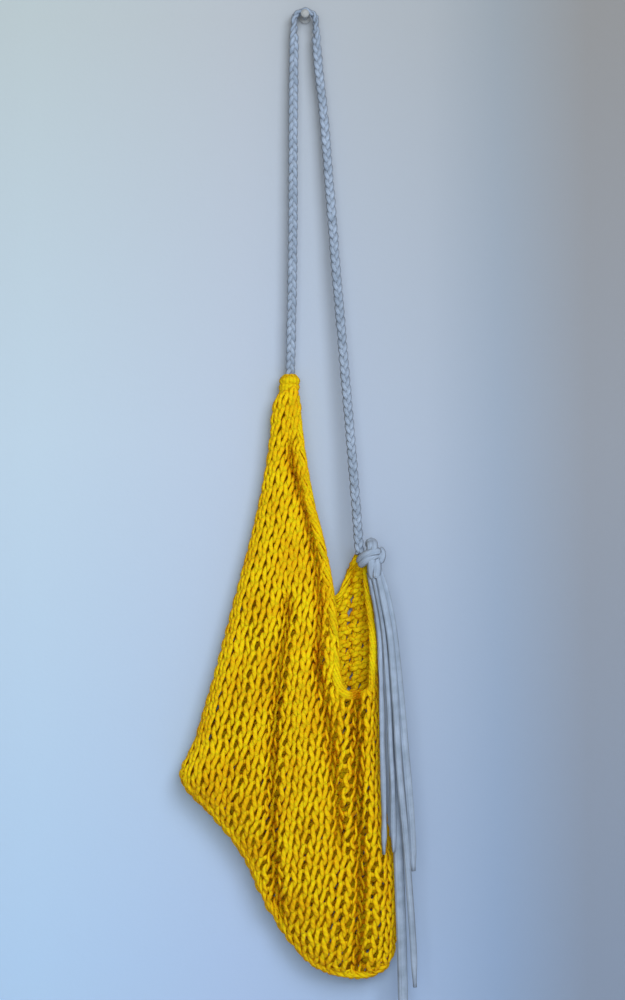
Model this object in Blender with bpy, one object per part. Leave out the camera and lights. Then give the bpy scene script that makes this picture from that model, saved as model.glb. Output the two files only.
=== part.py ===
"""A hand-knitted string bag that hangs from a small wall peg by a plaited jersey strap.

Frame: metres, +Z up, +X to the right as the bag is looked at, and the wall is the plane Y = 0 with the bag
on its -Y side. The origin is the middle of the peg where it meets the wall.
Tables are in millimetres. "across" is how far a point lies to the right of the peg, "drop" is how far it lies
below the peg's middle, and "off" is how far it stands off the wall.
"""

import math

import bmesh
import bpy
import numpy as np

MM = 0.001

PIECE_GAP = 0.3
PEG_NECK_RADIUS = 2.5
PEG_HEAD_RADIUS = 4.6
PEG_NECK_LENGTH = 18.0
PEG_HEAD_LENGTH = 6.0
PEG_FOOT_RADIUS = 6.0
PEG_FOOT_THICKNESS = 2.5
PEG_EDGE = 1.0
PEG_SIDES = 16

STRAP_WIDTH = 9.8
STRAP_THICKNESS = 6.4
CROWN_THICKNESS = 5.0
CROWN_OFF = 12.0
CROWN_RISE = PEG_NECK_RADIUS + 1.5 * PIECE_GAP + CROWN_THICKNESS / 2
LOOP_RADIUS = 11.6

KNIT_THICKNESS = 3.6
# The rim of the mouth rolls into a bead: its thickness, the share of it that the cloth has at each of the
# first points of a section, and where along the rim it starts, at the neck, and fades, at the tip.
RIM_ROLL = 8.0
RIM_SHARES = [0.42, 0.86, 1.0, 0.72, 0.45]
ROLL_START_DROP, ROLL_START_RUN = 410, 60
ROLL_FADE_DROP, ROLL_FADE_RUN = 575, 30

# How far the outer edge ("keel") stands off the wall, and how far the cloth bulges from it: the back behind it,
# the neck's back, and the front and the back of the tip.
KEEL_OFF = 16.0
TIP_OFF = 23.6
BACK_DEPTH = 10.0
NECK_DEPTH = 9.0
TIP_DEPTH = 5.0
BACK_TURN = 14.0
RIGHT_ARM_BACK_TURN = 9.0
# Toward its edges the neck curls round until its front and back nearly meet.
NECK_CURL_RUN = 12.0
NECK_CURL_SHARE = 0.42
# Folds stay this far from the keel.
FRONT_FOLD_RUN = 14.0
BACK_FOLD_RUN = 12.0
BACK_FOLD_AT_TIP = 0.1

# Where the neck, the right arm and its tip pass into the rest of the bag, by drop or across.
NECK_FOOT, NECK_RUN = 468, 60
RIGHT_ARM_ACROSS, RIGHT_ARM_RUN_ACROSS = 44, 8
RIGHT_ARM_FOOT, RIGHT_ARM_RUN = 730, 50
RIGHT_ARM_TURN = 12
TIP_FOOT, TIP_RUN = 612, 45

STATIONS_PER_SECTION = 2
# Where each section's points lie: from the front rim, from the back rim, from the keel, and how many between.
# On a short section the close points take at most this share of it at either end.
RIM_STEPS = (0, 2.2, 5, 9, 15)
BACK_RIM_STEPS = (0, 5)
KEEL_STEPS = (0, 3, 12)
MIDDLE_STEPS = 6
END_SHARE = 0.42

# The knitting's open gaps, at twice the real spacing: their size, how far apart they are along a row and down a
# column, and how far they keep from the rolled rim and from the outer edge. The columns fan out from the neck.
GAP_WIDTH = 6.5
GAP_HEIGHT = 13.0
COLUMN_SPACING = 18.0
ROW_SPACING = 28.0
RIM_MARGIN = 11.0
KEEL_MARGIN = 13.0
COLUMN_FOOT_DROP = 735.0
COLUMN_LEFT, COLUMN_RIGHT = -120.0, 84.0
LEAN_LEFT, LEAN_RIGHT = -0.27, -0.07
FIRST_ROW_DROP, LAST_ROW_DROP = 430.0, 1010.0
CUT_FROM_OFF, CUT_TO_OFF = -1.0, 80.0

# Sections of the bag from the neck on the left, along the bottom edge, to the tip on the right. Each one runs
# from the rolled front rim of the mouth down to the outer edge ("keel") and up the back to the back rim.
# front rim across, drop; keel across, drop; back rim across, drop
SECTIONS = [
    (-6, 402, -30, 403, -7, 402),
    (-4, 424, -34, 428, -6, 424),
    (1, 464, -40, 480, -2, 464),
    (9, 510, -53, 543, 5, 510),
    (20, 553, -73, 618, 13, 554),
    (29, 598, -95, 698, 21, 588),
    (34, 634, -116, 768, 27, 606),
    (36, 664, -130, 806, 30, 613),
    (37, 690, -97, 845, 31, 615),
    (40, 705, -64, 888, 32, 615),
    (45, 711, -39, 942, 34, 613),
    (50, 712, 5, 999, 36, 610),
    (56, 712, 54, 1015, 38, 606),
    (62, 710, 87, 1002, 40, 601),
    (67, 706, 95, 962, 42, 596),
    (69, 699, 95, 903, 44, 591),
    (70, 688, 84, 846, 46, 586),
    (71, 668, 79, 780, 48, 581),
    (71, 646, 78, 712, 50, 576),
    (68, 620, 75, 655, 52, 571),
    (64, 597, 69, 617, 54, 567),
    (61, 581, 65, 592, 56, 565),
]

# How far the front stands forward of the keel, and how wide the keel's round turn is, by drop.
# drop, forward, turn radius
FRONT_FULLNESS = [
    (400, 9, 12),
    (470, 10, 16),
    (560, 14, 26),
    (640, 20, 34),
    (720, 25, 40),
    (820, 30, 42),
    (940, 28, 42),
    (1016, 22, 36),
]

# Folds of the front: a crease or a ridge is a line down the cloth, with its width and how far it stands out
# (ridges are positive, creases negative). Each line is named by the points that it passes.
# name, height, width, [(across, drop), ...]
FRONT_FOLDS = [
    ("deep_crease", -11.0, 8.0, [(54, 728), (55, 800), (58, 915), (55, 1000)]),
    ("crease_under_rim", -7.5, 7.0, [(14, 688), (25, 752), (33, 822), (36, 858)]),
    ("long_crease", -6.5, 8.5, [(-19, 632), (-30, 722), (-34, 800), (-33, 885), (-26, 950)]),
    ("rim_groove", -5.0, 5.5, [(-16, 470), (-6, 505), (4, 545), (12, 590), (15, 640), (13, 690)]),
    ("middle_pleat", 4.0, 8.0, [(44, 722), (43, 780), (39, 850)]),
    ("belly_ridge", 4.5, 17.0, [(-2, 690), (2, 800), (12, 930)]),
    ("side_ridge", 4.5, 9.0, [(68, 735), (72, 850), (80, 955)]),
    ("left_crease", -3.0, 9.0, [(-62, 660), (-78, 740), (-84, 815)]),
]
# Folds of the back cloth where it shows through the mouth, as two pleats with a valley between them.
BACK_FOLDS = [
    ("left_pleat", 7.0, 7.5, [(43, 590), (37, 640), (33, 700), (31, 750)]),
    ("right_pleat", 7.0, 7.5, [(60, 592), (62, 640), (62, 700), (60, 750)]),
]
FOLD_FADE = 32.0

# The strap's centreline: the left leg up from the sleeve, and the right leg down to the knot.
# across, drop, off
LEFT_LEG = [(-16.8, 396, 15), (-15.5, 375, 15), (-15, 350, 15), (-13.9, 302, 15), (-13.2, 250, 15),
            (-12.8, 197, 14.5), (-12.6, 113, 14), (-12.2, 71, 13), (-11.7, 30, 12.2)]
RIGHT_LEG = [(12.2, 30, 12.2), (16, 71, 13), (19.3, 100, 13.5), (22.6, 140, 14.5), (27, 197, 16),
             (35.5, 302, 19.5), (45.5, 418, 23), (49, 460, 24.5), (53.2, 512, 26), (55.2, 540, 28.5),
             (57.3, 568.6, 30.8)]
STRAP_BUMP = 4.5
# Corners of the strap's flattened section, as shares of half its width and half its thickness.
STRAP_CORNERS = [(1, 0), (0.58, 1), (-0.58, 1), (-1, 0), (-0.58, -1), (0.58, -1)]
STRAP_LOBE = 0.9
# Over the peg the plait lies on its flat side. It turns to face the room between these distances from the
# crown of its loop.
TURN_START = 14.0
TURN_END = 52.0

# The knitted sleeve at the neck, where the strap's end goes in.
SLEEVE_TOP = 381
SLEEVE_FOOT = 416
SLEEVE_TOP_ACROSS = -15.8
SLEEVE_FOOT_ACROSS = -18.6
SLEEVE_BORE_WIDTH = 11.4
SLEEVE_BORE_DEPTH = 9.0
# level (0 at its top, 1 at its foot), outer width, outer depth
SLEEVE_SIZES = [(0, 17.5, 12.5), (0.12, 19.6, 14.4), (0.45, 20.0, 14.6), (0.62, 18.6, 13.6), (1, 24.5, 18.4)]
SLEEVE_SIDES = 16

# The strap's loose ends below the knot: strips of jersey with rolled edges.
# name, width, [(across, drop, off), ...]
STRIP_THICKNESS = 2.4
STRIPS = [
    ("front_right", 9.0, [(76, 580, 36), (85, 612, 39), (92, 650, 41), (99, 715, 42), (104, 772, 43),
                          (109, 830, 43), (113, 899, 43)]),
    ("long", 10.5, [(72, 582, 32), (79, 612, 34), (87, 655, 36), (92, 715, 37), (95, 800, 38),
                    (98, 890, 39), (101, 970, 39), (103, 1061, 39)]),
    ("right", 7.0, [(75, 584, 40), (82, 616, 44), (89, 655, 46), (94, 720, 47), (99, 800, 48),
                    (106, 880, 48), (112, 960, 48), (114.5, 1019, 48)]),
    ("middle", 6.0, [(70, 586, 37), (77, 616, 40), (83, 655, 42), (87, 712, 43), (89.5, 765, 44),
                     (91.5, 830, 44), (92.5, 879, 44)]),
    ("left", 6.0, [(67, 588, 33), (73, 618, 36), (78, 660, 39), (80, 702, 42), (81, 765, 44),
                   (82, 830, 46), (82.5, 881, 46)]),
]
STRIP_STEP = 26.0
STRIP_ROOT_SHARE = 0.72

# The knot's turns of strap: a path and how thick it is.
# radius, [(across, drop, off), ...]
KNOT_TURNS = [
    (6.4, [(58.2, 579, 31.2), (62.5, 573.5, 36.5), (70, 568.5, 40.0), (78, 566, 39)]),
    (5.6, [(68.3, 561, 31.0), (69.3, 557.5, 35), (70.4, 560, 39), (70.6, 569, 41)]),
    (4.8, [(77, 563, 38), (79.5, 569, 38.5), (78.5, 577, 37.5)]),
    (7.0, [(70, 568, 37), (72, 578, 37), (74, 593, 37)]),
]
KNOT_SIDES = 8
KNOT_STEP = 4.0
KNOT_END_SHARE = 0.62


def clear_scene():
    for item in list(bpy.data.objects):
        bpy.data.objects.remove(item)


def material(name, colour, roughness, metallic=0.0):
    made = bpy.data.materials.new(name)
    made.use_nodes = True
    shader = made.node_tree.nodes["Principled BSDF"]
    shader.inputs["Base Color"].default_value = (*colour, 1.0)
    shader.inputs["Roughness"].default_value = roughness
    shader.inputs["Metallic"].default_value = metallic
    return made


def place(across, drop, off):
    """A point in metres from the tables' millimetres."""
    return np.array([across, -off, -drop]) * MM


def smooth(points, steps):
    """Points on a smooth curve through the given ones, with that many steps between each two."""
    p = np.array(points, float)
    ends = np.vstack([2 * p[0] - p[1], p, 2 * p[-1] - p[-2]])
    out = []
    for k in range(len(p) - 1):
        a, b, c, d = ends[k : k + 4]
        for t in np.arange(steps) / steps:
            out.append(0.5 * (2 * b + (c - a) * t + (2 * a - 5 * b + 4 * c - d) * t**2
                              + (3 * b - a - 3 * c + d) * t**3))
    out.append(p[-1])
    return np.array(out)


def even_steps(line, step):
    """The same line with points that many millimetres apart."""
    along = np.concatenate([[0], np.cumsum(np.linalg.norm(np.diff(line, axis=0), axis=1))])
    at = np.linspace(0, along[-1], max(2, round(along[-1] / step) + 1))
    return np.stack([np.interp(at, along, line[:, k]) for k in range(line.shape[1])], axis=1)


def round_turn(share):
    """Rises from 0 to 1 as a quarter circle does."""
    return np.sqrt(1 - (1 - np.clip(share, 0, 1)) ** 2)


def ease(share):
    share = np.clip(share, 0, 1)
    return share * share * (3 - 2 * share)


def distance(points, line):
    """How far each plan point lies from a line of close points."""
    return np.min(np.linalg.norm(points[:, None] - line[None], axis=2), axis=1)


def fold_heights(folds, across, drop):
    """The sum of the folds' heights at each plan point."""
    total = np.zeros_like(across)
    for _, height, width, path in folds:
        line = smooth(path, 8)
        middle = np.interp(drop, line[:, 1], line[:, 0])
        above, below = drop - line[0, 1], line[-1, 1] - drop
        fade = ease(1 + above / FOLD_FADE) * ease(1 + below / FOLD_FADE)
        total += height * fade * np.exp(-(((across - middle) / width) ** 2))
    return total


def arm_shares(across, drop):
    """How far each plan point belongs to the right arm, to its tip, and to the neck, from 0 to 1."""
    right = ease((across - RIGHT_ARM_ACROSS) / RIGHT_ARM_RUN_ACROSS)
    right = right * ease((RIGHT_ARM_FOOT - drop) / RIGHT_ARM_RUN)
    tip = right * ease((TIP_FOOT - drop) / TIP_RUN)
    neck = ease((NECK_FOOT - drop) / NECK_RUN) * (across < RIGHT_ARM_ACROSS)
    return right, tip, neck


def neck_curl(to_rim):
    """The share of its depth that the neck's cloth keeps this near its rim."""
    return NECK_CURL_SHARE + (1 - NECK_CURL_SHARE) * round_turn(to_rim / NECK_CURL_RUN)


def front_off(plan, to_keel, to_rim):
    """How far the front cloth stands off the wall at each plan point."""
    across, drop = plan[:, 0], plan[:, 1]
    table = np.array(FRONT_FULLNESS, float)
    forward = np.interp(drop, table[:, 0], table[:, 1])
    turn = np.interp(drop, table[:, 0], table[:, 2])
    right, tip, neck = arm_shares(across, drop)
    turn += right * (RIGHT_ARM_TURN - turn)
    forward += tip * (TIP_DEPTH - forward)
    forward *= 1 + neck * (neck_curl(to_rim) - 1)
    keel = KEEL_OFF + tip * (TIP_OFF - KEEL_OFF)
    flat = ease(to_keel / FRONT_FOLD_RUN)
    return keel + forward * round_turn(to_keel / turn) + flat * fold_heights(FRONT_FOLDS, across, drop)


def back_off(plan, to_keel, to_rim):
    """How far the back cloth stands off the wall at each plan point."""
    across, drop = plan[:, 0], plan[:, 1]
    right, tip, neck = arm_shares(across, drop)
    depth = BACK_DEPTH + neck * (NECK_DEPTH - BACK_DEPTH)
    depth = depth + tip * (TIP_DEPTH - depth)
    depth = depth * (1 + neck * (neck_curl(to_rim) - 1))
    keel = KEEL_OFF + tip * (TIP_OFF - KEEL_OFF)
    turn = BACK_TURN + right * (RIGHT_ARM_BACK_TURN - BACK_TURN)
    kept = ease(to_keel / BACK_FOLD_RUN) * (1 + tip * (BACK_FOLD_AT_TIP - 1))
    lift = kept * fold_heights(BACK_FOLDS, across, drop)
    return keel - depth * round_turn(to_keel / turn) + lift


def shares_across(length, rim_steps, keel_steps, middle):
    """Shares of a section's length: close steps at the rim, even ones in the middle, close ones at the keel."""
    room = END_SHARE * length
    near = np.array(rim_steps) * min(1, room / rim_steps[-1])
    far = np.array(keel_steps) * min(1, room / keel_steps[-1])
    between = np.linspace(near[-1], length - far[-1], middle + 1)[1:-1]
    return np.concatenate([near, between, length - far[::-1]]) / length


def grid_of_body():
    """The cloth's middle surface, station by station, with half its thickness at each point."""
    table = smooth(SECTIONS, STATIONS_PER_SECTION)
    keel_line = smooth(table[:, 2:4], 6)
    rows, halves = [], []
    for rim, keel, back in zip(table[:, 0:2], table[:, 2:4], table[:, 4:6]):
        front_length, back_length = np.linalg.norm(keel - rim), np.linalg.norm(back - keel)
        down = shares_across(front_length, RIM_STEPS, KEEL_STEPS, MIDDLE_STEPS)
        up = 1 - shares_across(back_length, BACK_RIM_STEPS, KEEL_STEPS, MIDDLE_STEPS)[::-1]
        plan_front = rim + down[:, None] * (keel - rim)
        plan_back = (keel + up[:, None] * (back - keel))[1:]
        back_distance = np.linalg.norm(plan_back - back, axis=1)
        off_front = front_off(plan_front, distance(plan_front, keel_line), down * front_length)
        off_back = back_off(plan_back, distance(plan_back, keel_line), back_distance)
        plan = np.vstack([plan_front, plan_back])
        off = np.concatenate([off_front, off_back])
        rows.append([place(x, z, y) for (x, z), y in zip(plan, off)])
        roll = ease((rim[1] - ROLL_START_DROP) / ROLL_START_RUN)
        if rim[0] > RIGHT_ARM_ACROSS:
            roll *= ease((rim[1] - ROLL_FADE_DROP) / ROLL_FADE_RUN)
        half = np.full(len(plan), KNIT_THICKNESS / 2)
        half[: len(RIM_SHARES)] += roll * (RIM_ROLL * np.array(RIM_SHARES) - KNIT_THICKNESS) / 2
        halves.append(half)
    return np.array(rows), np.array(halves) * MM


def surface_normals(grid):
    """Unit normals of a grid of points, pointing out of the bag."""
    along = np.gradient(grid, axis=0)
    across = np.gradient(grid, axis=1)
    normal = np.cross(across, along)
    return normal / np.maximum(np.linalg.norm(normal, axis=2, keepdims=True), 1e-12)


def mesh_object(name, vertices, faces, finish):
    mesh = bpy.data.meshes.new(name)
    mesh.from_pydata([tuple(v) for v in vertices], [], faces)
    work = bmesh.new()
    work.from_mesh(mesh)
    bmesh.ops.recalc_face_normals(work, faces=work.faces)
    work.to_mesh(mesh)
    work.free()
    mesh.shade_smooth()
    mesh.set_sharp_from_angle(angle=math.radians(50))
    mesh.materials.append(finish)
    made = bpy.data.objects.new(name, mesh)
    bpy.context.scene.collection.objects.link(made)
    return made


def build_body(finish):
    """One closed wall of knitted cloth: the outer skin, the inner skin, and the strip round all four edges."""
    middle, half = grid_of_body()
    normal = surface_normals(middle)
    outer = middle + normal * half[..., None]
    inner = middle - normal * half[..., None]
    stations, columns = half.shape
    vertices = np.vstack([outer.reshape(-1, 3), inner.reshape(-1, 3)])
    faces = []

    def at(i, j, skin):
        return skin * stations * columns + i * columns + j

    for i in range(stations - 1):
        for j in range(columns - 1):
            faces.append((at(i, j, 0), at(i, j + 1, 0), at(i + 1, j + 1, 0), at(i + 1, j, 0)))
            faces.append((at(i, j, 1), at(i + 1, j, 1), at(i + 1, j + 1, 1), at(i, j + 1, 1)))
    for i in range(stations - 1):
        for j in (0, columns - 1):
            faces.append((at(i, j, 0), at(i + 1, j, 0), at(i + 1, j, 1), at(i, j, 1)))
    for j in range(columns - 1):
        for i in (0, stations - 1):
            faces.append((at(i, j, 0), at(i, j, 1), at(i, j + 1, 1), at(i, j + 1, 0)))
    return mesh_object("knit_body", vertices, faces, finish)


def gap_places():
    """The middle and the lean of each open gap, in staggered rows down the columns of the knitting."""
    table = smooth(SECTIONS, STATIONS_PER_SECTION)
    rim, keel, back = table[:, 0:2], table[:, 2:4], table[:, 4:6]
    front_outline = np.vstack([rim, keel[::-1]])
    back_outline = np.vstack([back, keel[::-1]])
    places = []
    for n, foot in enumerate(np.arange(COLUMN_LEFT, COLUMN_RIGHT, COLUMN_SPACING)):
        lean = LEAN_LEFT + (LEAN_RIGHT - LEAN_LEFT) * (foot - COLUMN_LEFT) / (COLUMN_RIGHT - COLUMN_LEFT)
        for drop in np.arange(FIRST_ROW_DROP + ROW_SPACING / 2 * (n % 2), LAST_ROW_DROP, ROW_SPACING):
            point = np.array([[foot + lean * (drop - COLUMN_FOOT_DROP), drop]])
            clear = distance(point, smooth(keel, 6))[0] > KEEL_MARGIN
            clear_rim = distance(point, smooth(rim, 6))[0] > RIM_MARGIN
            clear_back = distance(point, smooth(back, 6))[0] > RIM_MARGIN
            on_front, on_back = inside(point[0], front_outline), inside(point[0], back_outline)
            if clear and clear_rim and on_back and (on_front or clear_back):
                places.append((point[0], lean))
    return places


def inside(point, outline):
    """Whether a plan point lies inside a closed outline, by counting the edges to its right."""
    (x, y), crossings = point, 0
    for (ax, ay), (bx, by) in zip(outline, np.roll(outline, -1, axis=0)):
        if (ay > y) != (by > y) and x < ax + (y - ay) * (bx - ax) / (by - ay):
            crossings += 1
    return crossings % 2 == 1


def cut_gaps(body):
    """Cuts the knitting's open gaps through the front and the back, as upright diamonds."""
    vertices, faces = [], []
    for (across, drop), lean in gap_places():
        start = len(vertices)
        for off in (CUT_FROM_OFF, CUT_TO_OFF):
            vertices += [
                place(across - lean * GAP_HEIGHT / 2, drop - GAP_HEIGHT / 2, off),
                place(across + GAP_WIDTH / 2, drop, off),
                place(across + lean * GAP_HEIGHT / 2, drop + GAP_HEIGHT / 2, off),
                place(across - GAP_WIDTH / 2, drop, off),
            ]
        ring = range(start, start + 4)
        faces += [tuple(ring), tuple(n + 4 for n in ring)[::-1]]
        faces += [(n, start + (n - start + 1) % 4, start + 4 + (n - start + 1) % 4, n + 4) for n in ring]
    cutter = mesh_object("gap_cutter", vertices, faces, body.data.materials[0])
    cutter.hide_render = True
    cutter.display_type = "WIRE"
    cut = body.modifiers.new("gaps", "BOOLEAN")
    cut.operation = "DIFFERENCE"
    cut.object = cutter


def swept(rings):
    """Vertices and faces of a closed tube through rings of points."""
    count = len(rings[0])
    vertices = np.vstack(rings)
    faces = [tuple(range(count))[::-1], tuple(range(len(vertices) - count, len(vertices)))]
    for k in range(len(rings) - 1):
        for n in range(count):
            m = (n + 1) % count
            faces.append((k * count + n, k * count + m, (k + 1) * count + m, (k + 1) * count + n))
    return vertices, faces


def strap_line():
    """The strap's centreline, from its end in the sleeve, over the peg, to the knot."""
    turn = np.linspace(math.pi, 0, 13)[1:-1]
    crown = [
        (LOOP_RADIUS * math.cos(a), LOOP_RADIUS * (1 - math.sin(a)) - CROWN_RISE, CROWN_OFF)
        for a in turn
    ]
    line = smooth(LEFT_LEG + crown + RIGHT_LEG, 8)
    return even_steps(line, STRAP_BUMP)


def frame_along(line):
    """At each point of a line: its direction, the way outward in the wall's plane, and the way to the room."""
    tangent = np.gradient(line, axis=0)
    tangent /= np.linalg.norm(tangent, axis=1, keepdims=True)
    side = np.cross(tangent, [0.0, 0.0, 1.0])
    side /= np.linalg.norm(side, axis=1, keepdims=True)
    return tangent, side, np.cross(side, tangent)


def build_strap(finish):
    """A flat three-strand plait: its strands show as lobes that come out left and right by turns."""
    line = strap_line()
    _, sides, faces = frame_along(line)
    along = np.concatenate([[0], np.cumsum(np.linalg.norm(np.diff(line, axis=0), axis=1))])
    crown = along[np.argmin(line[:, 1])]
    rings = []
    for k, (point, side, face) in enumerate(zip(line, sides, faces)):
        edge_on = 1 - ease((abs(along[k] - crown) - TURN_START) / (TURN_END - TURN_START))
        angle = edge_on * math.pi / 2
        wide_way = side * math.cos(angle) + face * math.sin(angle)
        deep_way = face * math.cos(angle) - side * math.sin(angle)
        thickness = STRAP_THICKNESS + edge_on * (CROWN_THICKNESS - STRAP_THICKNESS)
        centre = point + wide_way * STRAP_LOBE / 2 * (1 if k % 2 else -1)
        half_width = (STRAP_WIDTH - STRAP_LOBE) / 2
        rings.append(np.array([
            place(*(centre + wide_way * wide * half_width + deep_way * deep * thickness / 2))
            for wide, deep in STRAP_CORNERS
        ]))
    return mesh_object("plaited_strap", *swept(rings), finish)


def build_sleeve(finish):
    """The neck's folded-over end: a short tube that holds the strap's end, its foot in the neck's wall."""
    levels = np.array(SLEEVE_SIZES)
    outer = [(level, width, depth) for level, width, depth in levels]
    bore = [(level, SLEEVE_BORE_WIDTH, SLEEVE_BORE_DEPTH) for level in levels[::-1, 0]]
    rings = []
    for level, width, depth in outer + bore:
        drop = SLEEVE_TOP + level * (SLEEVE_FOOT - SLEEVE_TOP)
        across = SLEEVE_TOP_ACROSS + level * (SLEEVE_FOOT_ACROSS - SLEEVE_TOP_ACROSS)
        rings.append([
            place(across + width / 2 * math.cos(a), drop, LEFT_LEG[0][2] + depth / 2 * math.sin(a))
            for a in math.tau * np.arange(SLEEVE_SIDES) / SLEEVE_SIDES
        ])
    count = len(rings)
    faces = []
    for k in range(count):
        after = (k + 1) % count
        for n in range(SLEEVE_SIDES):
            m = (n + 1) % SLEEVE_SIDES
            faces.append((k * SLEEVE_SIDES + n, k * SLEEVE_SIDES + m,
                          after * SLEEVE_SIDES + m, after * SLEEVE_SIDES + n))
    return mesh_object("neck_sleeve", np.vstack(rings), faces, finish)


def tube(name, radius, path, finish):
    """One turn of the knot: a round length of strap that narrows to its ends."""
    line = even_steps(smooth(path, 8), KNOT_STEP)
    _, sides, faces = frame_along(line)
    rings = []
    for share, point, side, face in zip(np.linspace(-1, 1, len(line)), line, sides, faces):
        swell = KNOT_END_SHARE + (1 - KNOT_END_SHARE) * math.sqrt(max(0.0, 1 - share**4))
        rings.append(np.array([
            place(*(point + swell * radius * (side * math.cos(a) + face * math.sin(a))))
            for a in math.tau * np.arange(KNOT_SIDES) / KNOT_SIDES
        ]))
    return mesh_object(name, *swept(rings), finish)


def strip(name, width, path, finish):
    """A hanging strip of jersey with four sides, flat to the room, narrower where it leaves the knot."""
    line = even_steps(smooth(path, 8), STRIP_STEP)
    _, sides, faces = frame_along(line)
    rings = []
    for k, (point, side, face) in enumerate(zip(line, sides, faces)):
        wide = width / 2 * (STRIP_ROOT_SHARE if k == 0 else 1)
        rings.append(np.array([
            place(*(point + side * a * wide + face * b * STRIP_THICKNESS / 2))
            for a, b in ((-1, -1), (1, -1), (1, 1), (-1, 1))
        ]))
    return mesh_object(name, *swept(rings), finish)


def join_all(whole, others, bends_on_itself=False):
    """Fuses the other solids into the first one. A tightly bent tube runs into itself at its bends."""
    for other in others:
        join = whole.modifiers.new(other.name, "BOOLEAN")
        join.operation = "UNION"
        join.object = other
        join.use_self = bends_on_itself
        other.hide_render = True
        other.display_type = "WIRE"


def build_tassel(finish):
    """The knot that ties the strap to the bag's tip, fused with the loose strips that hang from it."""
    turns = [tube(f"turn_{k}", radius, path, finish) for k, (radius, path) in enumerate(KNOT_TURNS)]
    strips = [strip(name, width, path, finish) for name, width, path in STRIPS]
    turns[0].name = "strap_knot"
    join_all(turns[0], turns[1:] + strips, bends_on_itself=True)


def build_peg(finish):
    """A small turned peg: a foot flat on the wall, a thin neck for the strap, and a rounded head."""
    head_start = PEG_FOOT_THICKNESS + PEG_NECK_LENGTH
    profile = [(0, 0), (PEG_FOOT_RADIUS, 0), (PEG_FOOT_RADIUS, PEG_FOOT_THICKNESS - PEG_EDGE),
               (PEG_FOOT_RADIUS - PEG_EDGE, PEG_FOOT_THICKNESS), (PEG_NECK_RADIUS, PEG_FOOT_THICKNESS),
               (PEG_NECK_RADIUS, head_start)]
    for a in np.linspace(-math.pi / 3, math.pi / 2, 6):
        profile.append((PEG_HEAD_RADIUS * math.cos(a), head_start + PEG_HEAD_LENGTH / 2 * (1 + math.sin(a))))
    profile[-1] = (0, head_start + PEG_HEAD_LENGTH)
    work = bmesh.new()
    corners = [work.verts.new((radius * MM, -off * MM, 0)) for radius, off in profile]
    edges = [work.edges.new(pair) for pair in zip(corners, corners[1:])]
    bmesh.ops.spin(work, geom=corners + edges, cent=(0, 0, 0), axis=(0, 1, 0), angle=math.tau, steps=PEG_SIDES,
                   use_merge=True)
    bmesh.ops.remove_doubles(work, verts=work.verts, dist=0.001 * MM)
    vertices = [v.co.copy() for v in work.verts]
    work.verts.index_update()
    faces = [tuple(v.index for v in face.verts) for face in work.faces]
    work.free()
    return mesh_object("wall_peg", vertices, faces, finish)


clear_scene()
yellow_yarn = material("yellow_yarn", (0.60, 0.38, 0.01), 0.75)
grey_jersey = material("grey_jersey", (0.36, 0.43, 0.52), 0.85)
pale_peg = material("pale_peg", (0.62, 0.66, 0.70), 0.5)
body = build_body(yellow_yarn)
join_all(body, [build_sleeve(yellow_yarn)])
cut_gaps(body)
build_strap(grey_jersey)
build_tassel(grey_jersey)
build_peg(pale_peg)
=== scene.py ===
"""The looks of a hand-knitted string bag that hangs from a small wall peg by a plaited jersey strap.

Places in tables are in millimetres. "across" is how far a point lies to the right of the peg, "drop" is how
far it lies below the peg's middle, and "off" is how far it stands off the wall.
"""

import math

import bpy
import numpy as np
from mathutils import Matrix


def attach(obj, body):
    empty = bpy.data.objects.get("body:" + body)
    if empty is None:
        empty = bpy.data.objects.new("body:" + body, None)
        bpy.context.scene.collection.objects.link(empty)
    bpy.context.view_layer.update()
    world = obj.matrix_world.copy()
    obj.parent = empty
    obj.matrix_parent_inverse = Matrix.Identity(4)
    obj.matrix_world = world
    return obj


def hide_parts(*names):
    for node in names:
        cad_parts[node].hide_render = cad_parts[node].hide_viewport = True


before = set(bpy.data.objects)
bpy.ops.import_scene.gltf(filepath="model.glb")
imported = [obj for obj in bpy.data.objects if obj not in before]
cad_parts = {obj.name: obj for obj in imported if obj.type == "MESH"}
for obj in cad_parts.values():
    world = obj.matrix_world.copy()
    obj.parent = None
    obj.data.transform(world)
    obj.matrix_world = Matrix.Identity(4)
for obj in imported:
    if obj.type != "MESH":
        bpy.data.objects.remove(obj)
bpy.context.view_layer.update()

# The room: a pale blue-grey plastered wall, a pale floor well below the bag, and a camera that looks straight
# at the wall from two metres off. A broad window stands to the right in front. Sizes here are in metres.

WALL_WIDTH, WALL_TOP, FLOOR_DROP = 5.0, 1.4, 1.30
WALL_GAP = 0.0006
FLOOR_DEPTH = 3.0
LENS = 75.0
SENSOR = 36.0
VIEW_HEIGHT = 1.05
VIEW_MIDDLE = (0.0079, -0.512)
OBJECT_OFF = 0.028
# The wall's colour, with painted light in it: its tone from half a metre left of the peg (0) to half a metre
# right of it (1), darker toward the right as painted shade, and the tint over that from a metre below the peg
# (0) to the peg (1), painted light that is bluer and brighter low down and warmer and darker at the peg.
WALL_PAINTED_SHADE = [(0.21, (0.51, 0.66, 0.80, 1)), (0.43, (0.465, 0.565, 0.715, 1)),
              (0.63, (0.385, 0.47, 0.595, 1)), (0.705, (0.305, 0.385, 0.50, 1)),
              (0.80, (0.27, 0.305, 0.36, 1))]
WALL_PAINTED_LIGHT = [(0.0, (0.85, 0.98, 1.17, 1)), (0.55, (0.94, 0.97, 1.01, 1)), (1.0, (0.88, 0.84, 0.77, 1))]


def flat_stage(name, corners, finish):
    """One flat face of the room."""
    mesh = bpy.data.meshes.new(name)
    mesh.from_pydata(corners, [], [(0, 1, 2, 3)])
    mesh.materials.append(finish)
    made = bpy.data.objects.new(name, mesh)
    bpy.context.scene.collection.objects.link(made)
    return made


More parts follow.
